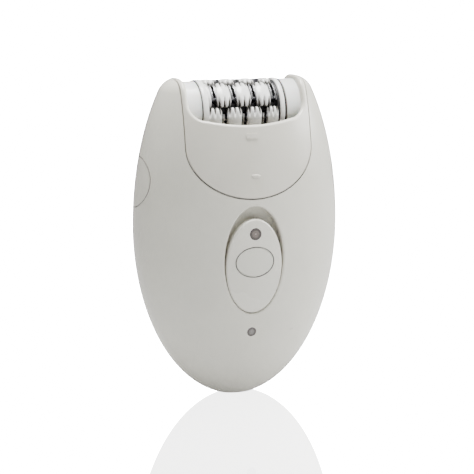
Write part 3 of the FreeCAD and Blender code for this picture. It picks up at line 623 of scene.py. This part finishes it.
@dataclass
class TweezerRoller:
    """Roller with its bulging blocks on a core painted black as shade, collars, blades and push bars."""

    paint: Paintbox
    level: float = 84.0 * MM
    outer: float = 9.25 * MM
    core: float = 6.6 * MM
    root: float = 6.2 * MM
    half_width: float = 2.42 * MM
    half_angle: float = math.radians(29.8)
    first_row: float = math.radians(90 - 43)
    tip_share: float = 0.86
    crown_across: float = 0.35 * MM
    crown_along: float = 0.9 * MM
    notch_depth: float = 2.5 * MM
    block_grid: tuple[int, int, int] = (33, 25, 2)
    narrows_from: float = 0.35
    notch_span: tuple[float, float] = (0.3, 0.95)
    notch_waves: float = 1.5 * math.pi
    # Place along the axis and width factor of each block in the two kinds of row.
    fine_rows: tuple[tuple[float, float], ...] = ((-10.45, 0.3), (-6.0, 1.0), (0.0, 1.0), (6.0, 1.0))
    offset_rows: tuple[tuple[float, float], ...] = ((-9.0, 1.0), (-3.0, 1.0), (3.0, 1.0), (8.55, 0.8))
    # Left end and right end of each white ring, and the same with the radius of each black one, in mm. The
    # black rings are painted shade: thin dark lines for the shaded gaps beside the end discs.
    white_rings: tuple[tuple[float, float], ...] = ((-12.6, -10.9), (10.8, 12.1))
    shade_rings: tuple[tuple[float, float, float], ...] = (
        (-12.88, -12.7, 9.15), (10.15, 10.9, 8.7), (12.05, 12.55, 9.1))
    ring_bore: float = 6.4 * MM
    white_edge: float = 0.25 * MM
    shade_ring_edge: float = 0.05 * MM

    def block(self, tree: Any, sizes: Any) -> Any:
        """One pillow-shaped block, straight up from the roller's axis.

        Args:
            tree: Geometry node tree.
            sizes: Group input node that holds the named sizes.

        Returns:
            The geometry output of the block.
        """
        across_points, along_points, height_points = self.block_grid
        cube = node(tree, "GeometryNodeMeshCube", inputs={
            "Size": (2.0, 2.0, 2.0), "Vertices X": across_points, "Vertices Y": along_points,
            "Vertices Z": height_points})
        place = node(tree, "ShaderNodeSeparateXYZ", inputs={
            "Vector": node(tree, "GeometryNodeInputPosition").outputs["Position"]})
        known = {socket.name: socket for socket in sizes.outputs if socket.name}
        for name, axis in (("across", "X"), ("along", "Y"), ("height", "Z")):
            known[name] = place.outputs[axis]

        for name, direction in (("far", "along"), ("off", "across")):
            known[name] = node(tree, "ShaderNodeMath", {"operation": "ABSOLUTE"}, {
                0: known[direction]}).outputs["Value"]
        known["narrowing"] = node(tree, "ShaderNodeMapRange", {"interpolation_type": "SMOOTHSTEP"}, {
            "Value": known["far"], "From Min": self.narrows_from, "From Max": 1.0,
            "To Min": 1.0, "To Max": known["Tip share"]}).outputs["Result"]
        known["notching"] = node(tree, "ShaderNodeMapRange", {"interpolation_type": "SMOOTHSTEP"}, {
            "Value": known["far"], "From Min": self.notch_span[0], "From Max": self.notch_span[1],
            "To Min": 0.0, "To Max": known["Notch depth"]}).outputs["Result"]
        # Each sum is its own name, its operation, and the known names or numbers that it takes.
        sums = (
            ("width", "MULTIPLY", "narrowing", "Half width"),
            ("dome", "POWER", "off", 2.0), ("crown", "MULTIPLY", "dome", "Crown across"),
            ("side", "POWER", "off", 9.0), ("edge", "MULTIPLY", "side", "Crown along"),
            ("tip", "POWER", "far", 7.0), ("end", "MULTIPLY", "tip", "Crown along"),
            ("phase", "MULTIPLY", "across", self.notch_waves), ("wave", "COSINE", "phase"),
            ("comb", "ABSOLUTE", "wave"), ("ridge", "POWER", "comb", 8.0),
            ("notch", "MULTIPLY", "ridge", "notching"),
            ("under crown", "SUBTRACT", "Outer radius", "crown"),
            ("under edge", "SUBTRACT", "under crown", "edge"),
            ("under end", "SUBTRACT", "under edge", "end"), ("top", "SUBTRACT", "under end", "notch"),
            ("rise", "SUBTRACT", "top", "Root radius"), ("share", "MULTIPLY_ADD", "height", 0.5, 0.5),
            ("reach", "MULTIPLY_ADD", "rise", "share", "Root radius"),
            ("angle", "MULTIPLY", "along", "Half angle"),
            ("sine", "SINE", "angle"), ("cosine", "COSINE", "angle"),
            ("x", "MULTIPLY", "across", "width"), ("y", "MULTIPLY", "reach", "sine"),
            ("z", "MULTIPLY", "reach", "cosine"))
        for name, operation, *terms in sums:
            known[name] = node(tree, "ShaderNodeMath", {"operation": operation}, {
                index: known.get(term, term) for index, term in enumerate(terms)}).outputs["Value"]
        bent = node(tree, "ShaderNodeCombineXYZ", inputs={
            "X": known["x"], "Y": known["y"], "Z": known["z"]})
        shaped = node(tree, "GeometryNodeSetPosition", inputs={
            "Geometry": cube.outputs["Mesh"], "Position": bent.outputs["Vector"]})
        return shaped.outputs["Geometry"]

    def ring_of_rows(self, tree: Any, block: Any, row: Sequence[tuple[float, float]], start: float) -> Any:
        """Three equal rows of blocks, a third of a turn apart.

        Args:
            tree: Geometry node tree.
            block: Geometry output of one block.
            row: Place along the axis in millimetres and width factor of each block.
            start: Angle of the first row from straight up towards the front.

        Returns:
            The instances output.
        """
        joined = node(tree, "GeometryNodeJoinGeometry")
        for place, factor in row:
            moved = node(tree, "GeometryNodeTransform", inputs={
                "Geometry": block, "Translation": (place * MM, 0.0, 0.0), "Scale": (factor, 1.0, 1.0)})
            tree.links.new(moved.outputs["Geometry"], joined.inputs["Geometry"])
        points = node(tree, "GeometryNodePoints", inputs={"Count": 3})
        turn = node(tree, "ShaderNodeMath", {"operation": "MULTIPLY_ADD"}, {
            0: node(tree, "GeometryNodeInputIndex").outputs["Index"], 1: math.tau / 3, 2: start})
        facing = node(tree, "ShaderNodeCombineXYZ", inputs={"X": turn.outputs["Value"]})
        rows = node(tree, "GeometryNodeInstanceOnPoints", inputs={
            "Points": points.outputs["Points"], "Instance": joined.outputs["Geometry"],
            "Rotation": facing.outputs["Vector"]})
        return rows.outputs["Instances"]

    def block_tree(self) -> Any:
        """Make the node tree for all the blocks of the roller.

        Returns:
            The geometry node tree.
        """
        tree = bpy.data.node_groups.new("roller_blocks", "GeometryNodeTree")
        tree.interface.new_socket("Geometry", in_out="OUTPUT", socket_type="NodeSocketGeometry")
        for label in ("Half width", "Half angle", "Tip share", "Crown across", "Crown along", "Notch depth",
                      "Outer radius", "Root radius"):
            tree.interface.new_socket(label, in_out="INPUT", socket_type="NodeSocketFloat")
        sizes = node(tree, "NodeGroupInput")
        block = self.block(tree, sizes)
        rows = node(tree, "GeometryNodeJoinGeometry")
        second_row = self.first_row - math.pi / 3
        for row, start in ((self.fine_rows, self.first_row), (self.offset_rows, second_row)):
            made = self.ring_of_rows(tree, block, row, start)
            tree.links.new(made, rows.inputs["Geometry"])
        plain = node(tree, "GeometryNodeRealizeInstances", inputs={"Geometry": rows.outputs["Geometry"]})
        lifted = node(tree, "GeometryNodeTransform", inputs={
            "Geometry": plain.outputs["Geometry"], "Translation": (0.0, 0.0, self.level)})
        smooth = node(tree, "GeometryNodeSetShadeSmooth", inputs={"Geometry": lifted.outputs["Geometry"]})
        dressed = node(tree, "GeometryNodeSetMaterial", inputs={
            "Geometry": smooth.outputs["Geometry"], "Material": self.paint.get(Finish.BLOCK)})
        node(tree, "NodeGroupOutput", inputs={"Geometry": dressed.outputs["Geometry"]})
        return tree

    def blocks(self) -> Any:
        """Make the blocks and the white end rings.

        Returns:
            The plain mesh.
        """
        values = {"Half width": self.half_width, "Half angle": self.half_angle, "Tip share": self.tip_share,
                  "Crown across": self.crown_across, "Crown along": self.crown_along,
                  "Notch depth": self.notch_depth, "Outer radius": self.outer, "Root radius": self.root}
        mesh = mesh_from_tree("roller_blocks", self.block_tree(), values)
        work = bmesh.new()
        work.from_mesh(mesh)
        for low, high in self.white_rings:
            ring(work, low * MM, high * MM, self.ring_bore, self.outer, self.white_edge, self.level)
        bmesh.ops.recalc_face_normals(work, faces=work.faces)
        work.to_mesh(mesh)
        work.free()
        mesh.polygons.foreach_set("use_smooth", [True] * len(mesh.polygons))
        return mesh

    def core_mesh(self) -> Any:
        """Press a copy of the drum down to its core, which keeps its slots and bores.

        Returns:
            The plain mesh, with the black rings of painted shade added.
        """
        mesh = frame["nodes"]["roller_drum"].data.copy()
        work = bmesh.new()
        work.from_mesh(mesh)
        for vert in work.verts:
            away = math.hypot(vert.co.y, vert.co.z - self.level)
            if away > self.core:
                vert.co.y *= self.core / away
                vert.co.z = self.level + (vert.co.z - self.level) * self.core / away
        bmesh.ops.remove_doubles(work, verts=work.verts, dist=0.003 * MM)
        bmesh.ops.dissolve_degenerate(work, dist=0.002 * MM, edges=work.edges)
        for low, high, outer in self.shade_rings:
            ring(work, low * MM, high * MM, self.ring_bore, outer * MM, self.shade_ring_edge, self.level)
        work.to_mesh(mesh)
        work.free()
        mesh.polygons.foreach_set("use_smooth", [False] * len(mesh.polygons))
        return mesh

    def build(self) -> None:
        """Build and dress the roller's pieces."""
        blocks = new_piece("roller_blocks", self.blocks(), "roller", ("roller_drum",))
        self.paint.dress(blocks, Finish.BLOCK)
        # The core is dressed black as painted shade in the gaps between the blocks.
        core = new_piece("roller_core", self.core_mesh(), "roller")
        self.paint.dress(core, Finish.BLACK)
        for name in ("left_collar", "right_collar"):
            self.paint.dress(frame["nodes"][name], Finish.ROLLER)
        rows = range(1, 7)
        for name in ["fixed_tweezers"] + [f"moving_tweezers_{row}" for row in rows]:
            self.paint.dress(frame["nodes"][name], Finish.BLADE)
        rods = [f"push_bar_{row}" for row in rows] + ["roller_axle", "press_roller_pin", "press_roller"]
        for name in rods:
            self.paint.dress(frame["nodes"][name], Finish.ROD)
        self.paint.dress(frame["nodes"]["crown_gear"], Finish.GEAR)
        self.paint.dress(frame["nodes"]["star_spring"], Finish.SPRING)
        self.paint.dress(frame["nodes"]["roller_bushes"], Finish.BRASS)


@dataclass
class Internals:
    """Motor, gears, cell, board and fasteners inside the handle."""

    paint: Paintbox
    finishes: dict[Finish, tuple[str, ...]] = field(default_factory=lambda: {
        Finish.GEAR: ("transfer_gear", "output_pinion"),
        Finish.BRASS: ("motor_pinion", "motor_terminals", "lower_bush", "upper_bush", "socket_pin",
                       "socket_terminals"),
        Finish.ROD: ("motor_shaft", "transfer_shaft"),
        Finish.SPRING: ("lock_spring", "release_spring_left", "release_spring_right"),
        Finish.SCREW: ("case_screws", "head_screws", "gearbox_screws", "plate_screws"),
        Finish.CAN: ("motor_can",),
        Finish.BLACK: ("motor_end_cap", "power_switch", "switch_lever", "charging_socket"),
        Finish.PLATE: ("gearbox_plate",),
        Finish.SLEEVE: ("battery_cell",),
        Finish.NICKEL: ("battery_contacts",),
        Finish.BOARD: ("circuit_board",),
        Finish.LED: ("charge_led", "power_led")})

    def build(self) -> None:
        """Dress every inner piece."""
        for finish, names in self.finishes.items():
            for name in names:
                self.paint.dress(frame["nodes"][name], finish)


@dataclass
class Studio:
    """Pale floor, soft lights and the camera."""

    yaw: float = 19.0
    pitch: float = 10.15
    distance: float = 0.5294
    lens: float = 136.6
    shift: tuple[float, float] = (0.0035, -0.0103)
    aim: tuple[float, float, float] = (0.0, 0.0, 0.048)
    sky_level: float = 0.1
    sky_right: float = 0.48
    sky_top: float = 0.3
    sky_least: float = 0.05
    sky_seen: float = 45.0
    floor_bounce: float = 0.33
    floor_mirror: float = 0.9
    floor_reach: float = 6.0
    # Name, direction round, height in degrees, distance and side in metres, and power in watts.
    panels: tuple[tuple[str, float, float, float, float, float], ...] = (
        ("key_right", -75, 25, 0.7, 0.4, 6.5), ("top", 10, 88, 0.6, 0.3, 12.5))

    def direction(self, yaw: float, pitch: float) -> Vector:
        """Unit vector from the object towards a viewpoint."""
        turn, lift = math.radians(yaw), math.radians(pitch)
        return Vector((-math.sin(turn) * math.cos(lift), -math.cos(turn) * math.cos(lift), math.sin(lift)))

    def camera(self) -> None:
        """Place the camera at the viewing angle."""
        data = bpy.data.cameras.new("view")
        data.lens = self.lens
        data.sensor_width = 36.0
        data.shift_x, data.shift_y = self.shift
        data.clip_start = 0.01
        camera = bpy.data.objects.new("view", data)
        back = self.direction(self.yaw, self.pitch)
        camera.location = Vector(self.aim) + back * self.distance
        camera.rotation_euler = back.to_track_quat("Z", "Y").to_euler()
        bpy.context.scene.collection.objects.link(camera)
        bpy.context.scene.camera = camera

    def panel(self, name: str, yaw: float, pitch: float, away: float, size: float,
              power: float) -> None:
        """Add one square soft light aimed at the object.

        Args:
            name: Name of the light.
            yaw: Direction round the object, as for the camera.
            pitch: Height above the horizon in degrees.
            away: Distance in metres.
            size: Side of the panel in metres.
            power: Power in watts.
        """
        data = bpy.data.lights.new(name, "AREA")
        data.size = size
        data.energy = power
        light = bpy.data.objects.new(name, data)
        back = self.direction(yaw, pitch)
        light.location = Vector(self.aim) + back * away
        light.rotation_euler = back.to_track_quat("Z", "Y").to_euler()
        bpy.context.scene.collection.objects.link(light)

    def floor(self) -> None:
        """Lay a plain pale floor that mirrors the object's foot softly."""
        mesh = bpy.data.meshes.new("floor")
        corners = [(x * self.floor_reach, y * self.floor_reach, 0)
                   for x, y in ((-1, -1), (1, -1), (1, 1), (-1, 1))]
        mesh.from_pydata(corners, [], [(0, 1, 2, 3)])
        floor = bpy.data.objects.new("floor", mesh)
        bpy.context.scene.collection.objects.link(floor)
        material, tree, shader = new_material("pale_floor")
        ray = node(tree, "ShaderNodeLightPath")
        shader.inputs["Base Color"].default_value = linear("B4B4B4")
        shader.inputs["Roughness"].default_value = 0.5
        shader.inputs["Emission Color"].default_value = linear("FFFFFF")
        shader.inputs["Emission Strength"].default_value = self.floor_bounce
        glow = node(tree, "ShaderNodeEmission", inputs={"Strength": self.sky_seen})
        mirror = node(tree, "ShaderNodeBsdfAnisotropic", inputs={"Roughness": 0.0})
        sheen = node(tree, "ShaderNodeMixShader", inputs={
            0: self.floor_mirror, 1: glow.outputs["Emission"], 2: mirror.outputs["BSDF"]})
        seen = node(tree, "ShaderNodeMixShader", inputs={
            0: ray.outputs["Is Camera Ray"], 1: shader.outputs["BSDF"], 2: sheen.outputs["Shader"]})
        tree.links.new(seen.outputs["Shader"], tree.nodes["Material Output"].inputs["Surface"])
        mesh.materials.append(material)

    def sky(self) -> None:
        """Light the scene from a white surround that is brighter above and to the right."""
        world = bpy.data.worlds.new("surround")
        bpy.context.scene.world = world
        world.use_nodes = True
        tree = world.node_tree
        background = tree.nodes["Background"]
        background.inputs["Color"].default_value = linear("FFFFFF")
        ray = node(tree, "ShaderNodeLightPath")
        parts = node(tree, "ShaderNodeSeparateXYZ", inputs={
            "Vector": node(tree, "ShaderNodeTexCoord").outputs["Generated"]})
        across = node(tree, "ShaderNodeMath", {"operation": "MULTIPLY_ADD"}, {
            0: parts.outputs["X"], 1: self.sky_right, 2: self.sky_level})
        upwards = node(tree, "ShaderNodeMath", {"operation": "MULTIPLY_ADD"}, {
            0: parts.outputs["Z"], 1: self.sky_top, 2: across.outputs["Value"]})
        lit = node(tree, "ShaderNodeMath", {"operation": "MAXIMUM"}, {
            0: upwards.outputs["Value"], 1: self.sky_least})
        direct = node(tree, "ShaderNodeMath", {"operation": "MAXIMUM"}, {
            0: ray.outputs["Is Camera Ray"], 1: ray.outputs["Is Singular Ray"]})
        seen = node(tree, "ShaderNodeMapRange", inputs={
            "Value": direct.outputs["Value"], "To Min": lit.outputs["Value"], "To Max": self.sky_seen})
        tree.links.new(seen.outputs["Result"], background.inputs["Strength"])

    def build(self) -> None:
        """Build the whole studio."""
        self.sky()
        self.floor()
        for panel in self.panels:
            self.panel(*panel)
        self.camera()


def main() -> None:
    """Build the classes in order."""
    paint = Paintbox()
    Studio().build()
    Casework(paint).build()
    TweezerRoller(paint).build()
    Internals(paint).build()


if __name__ == "__main__":
    main()
